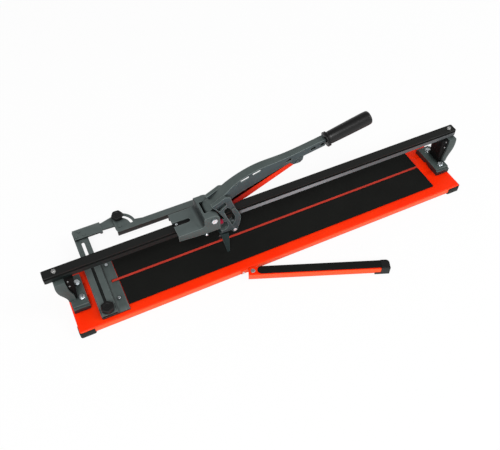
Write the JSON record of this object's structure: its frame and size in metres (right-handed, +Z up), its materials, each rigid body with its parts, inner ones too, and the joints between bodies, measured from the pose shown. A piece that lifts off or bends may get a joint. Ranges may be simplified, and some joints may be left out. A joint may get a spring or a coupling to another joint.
{
  "type": "manual tile cutter",
  "caption": "Bench tile cutter: flat base with rubber mats, guide rail on two cast brackets, rolling carriage with scoring lever, sliding angle stop and fold-out support arm.",
  "frame": {"origin": "middle of the base, at the level of the surface it stands on", "axes": "+X along the rail from the fence end to the far end, +Y from the user's side to the back, +Z up"},
  "size_m": [1.2805, 0.5101, 0.3489],
  "materials": {
    "orange_paint": "orange-red powder coat, semi-gloss",
    "grey_casting": "dark grey painted casting, satin",
    "grey_sheet": "dark grey painted steel plate, satin",
    "black_rail": "black coated steel, satin",
    "black_rubber": "matt black rubber",
    "grip_rubber": "black moulded rubber",
    "black_plastic": "black moulded nylon",
    "red_rubber": "red rubber",
    "zinc_plate": "bright zinc plate",
    "ground_steel": "ground steel",
    "carbide": "ground carbide",
    "bronze": "sintered bronze"
  },
  "bodies": {
    "base": {"base_plate": "orange_paint", "centre_stiffener": "orange_paint", "corner_feet": "black_rubber", "front_mat": "black_rubber", "rear_mat": "black_rubber", "breaking_strip": "orange_paint", "end_fence": "grey_casting", "fence_screws": "zinc_plate", "left_bracket": "grey_casting", "right_bracket": "grey_casting", "left_buffer_block": "black_plastic", "right_buffer_block": "black_plastic", "block_screws": "zinc_plate", "bracket_bolts": "zinc_plate", "bracket_nuts": "zinc_plate", "guide_rail": "black_rail", "rail_caps": "black_plastic", "rail_bolts": "zinc_plate", "clamp_stud": "zinc_plate", "arm_hinge_bracket": "orange_paint", "hinge_screws": "zinc_plate", "arm_rivet": "grey_sheet"},
    "carriage": {"carriage": "grey_casting", "glide_pad": "black_plastic", "glide_screw": "zinc_plate", "roller_axles": "ground_steel", "stop_buffer": "red_rubber", "flange_screw": "zinc_plate", "pivot_bolt": "zinc_plate", "pivot_nut": "zinc_plate", "pivot_washers": "zinc_plate"},
    "left_front_roller": {"left_front_roller": "ground_steel"},
    "left_rear_roller": {"left_rear_roller": "ground_steel"},
    "right_front_roller": {"right_front_roller": "ground_steel"},
    "right_rear_roller": {"right_rear_roller": "ground_steel"},
    "lever": {"lever": "grey_casting", "pivot_bush": "bronze", "strut": "orange_paint", "strut_pins": "grey_casting", "grip": "grip_rubber", "breaker_foot": "grey_casting", "breaker_screws": "zinc_plate", "fork_screw": "zinc_plate", "holder_screw": "zinc_plate"},
    "wheel_holder": {"wheel_holder": "ground_steel", "wheel_axle": "ground_steel"},
    "scoring_wheel": {"scoring_wheel": "carbide"},
    "side_stop": {"stop_bar": "grey_sheet", "stop_head": "grey_sheet", "head_rivets": "grey_sheet", "arm_pivot_rivet": "grey_sheet", "angle_stud": "zinc_plate"},
    "clamp_knob": {"clamp_knob": "black_plastic"},
    "angle_knob": {"angle_knob": "black_plastic"},
    "angle_arm": {"angle_arm": "grey_sheet"},
    "support_arm": {"support_arm": "orange_paint", "arm_pad": "black_rubber", "arm_end_cap": "black_rubber"}
  },
  "joints": [
    {"name": "carriage_slide", "type": "slide", "parent": "base", "child": "carriage", "axis": [1, 0, 0], "range_m": [-0.31, 0.64]},
    {"name": "lever_hinge", "type": "hinge", "parent": "carriage", "child": "lever", "pos_m": [-0.186, 0, 0.186], "axis": [0, -1, 0], "range_deg": [0, 20]},
    {"name": "wheel_height", "type": "slide", "parent": "lever", "child": "wheel_holder", "axis": [0, 0, 1], "range_m": [-0.004, 0.006]},
    {"name": "wheel_spin", "type": "hinge", "parent": "wheel_holder", "child": "scoring_wheel", "pos_m": [-0.15, 0, 0.048], "axis": [0, 1, 0], "continuous": true},
    {"name": "side_stop_slide", "type": "slide", "parent": "base", "child": "side_stop", "axis": [0, -1, 0], "range_m": [0, 0.054]},
    {"name": "clamp_knob_turn", "type": "hinge", "parent": "base", "child": "clamp_knob", "pos_m": [-0.521, -0.085, 0.0373], "axis": [0, 0, 1], "range_deg": [0, 360]},
    {"name": "angle_knob_turn", "type": "hinge", "parent": "side_stop", "child": "angle_knob", "pos_m": [-0.40124, 0.20019, 0.046], "axis": [0, 0, 1], "range_deg": [0, 360]},
    {"name": "angle_arm_swing", "type": "hinge", "parent": "side_stop", "child": "angle_arm", "pos_m": [-0.406, 0.164, 0.0437], "axis": [0, 0, 1], "range_deg": [0, 76]},
    {"name": "support_arm_swing", "type": "hinge", "parent": "base", "child": "support_arm", "pos_m": [-0.1154, -0.1345, 0.026], "axis": [0, 0, 1], "range_deg": [-68, 22]},
    {"name": "left_front_roller_spin", "type": "hinge", "parent": "carriage", "child": "left_front_roller", "pos_m": [-0.267, -0.0208, 0.1545], "axis": [0, 0, 1], "continuous": true},
    {"name": "left_rear_roller_spin", "type": "hinge", "parent": "carriage", "child": "left_rear_roller", "pos_m": [-0.267, 0.0208, 0.1545], "axis": [0, 0, 1], "continuous": true},
    {"name": "right_front_roller_spin", "type": "hinge", "parent": "carriage", "child": "right_front_roller", "pos_m": [-0.193, -0.0208, 0.1545], "axis": [0, 0, 1], "continuous": true},
    {"name": "right_rear_roller_spin", "type": "hinge", "parent": "carriage", "child": "right_rear_roller", "pos_m": [-0.193, 0.0208, 0.1545], "axis": [0, 0, 1], "continuous": true}
  ],
  "couplings": [
    {"joint": "left_front_roller_spin", "follows": "carriage_slide", "rad_per_m": 90.909},
    {"joint": "left_rear_roller_spin", "follows": "carriage_slide", "rad_per_m": -90.909},
    {"joint": "right_front_roller_spin", "follows": "carriage_slide", "rad_per_m": 90.909},
    {"joint": "right_rear_roller_spin", "follows": "carriage_slide", "rad_per_m": -90.909}
  ]
}
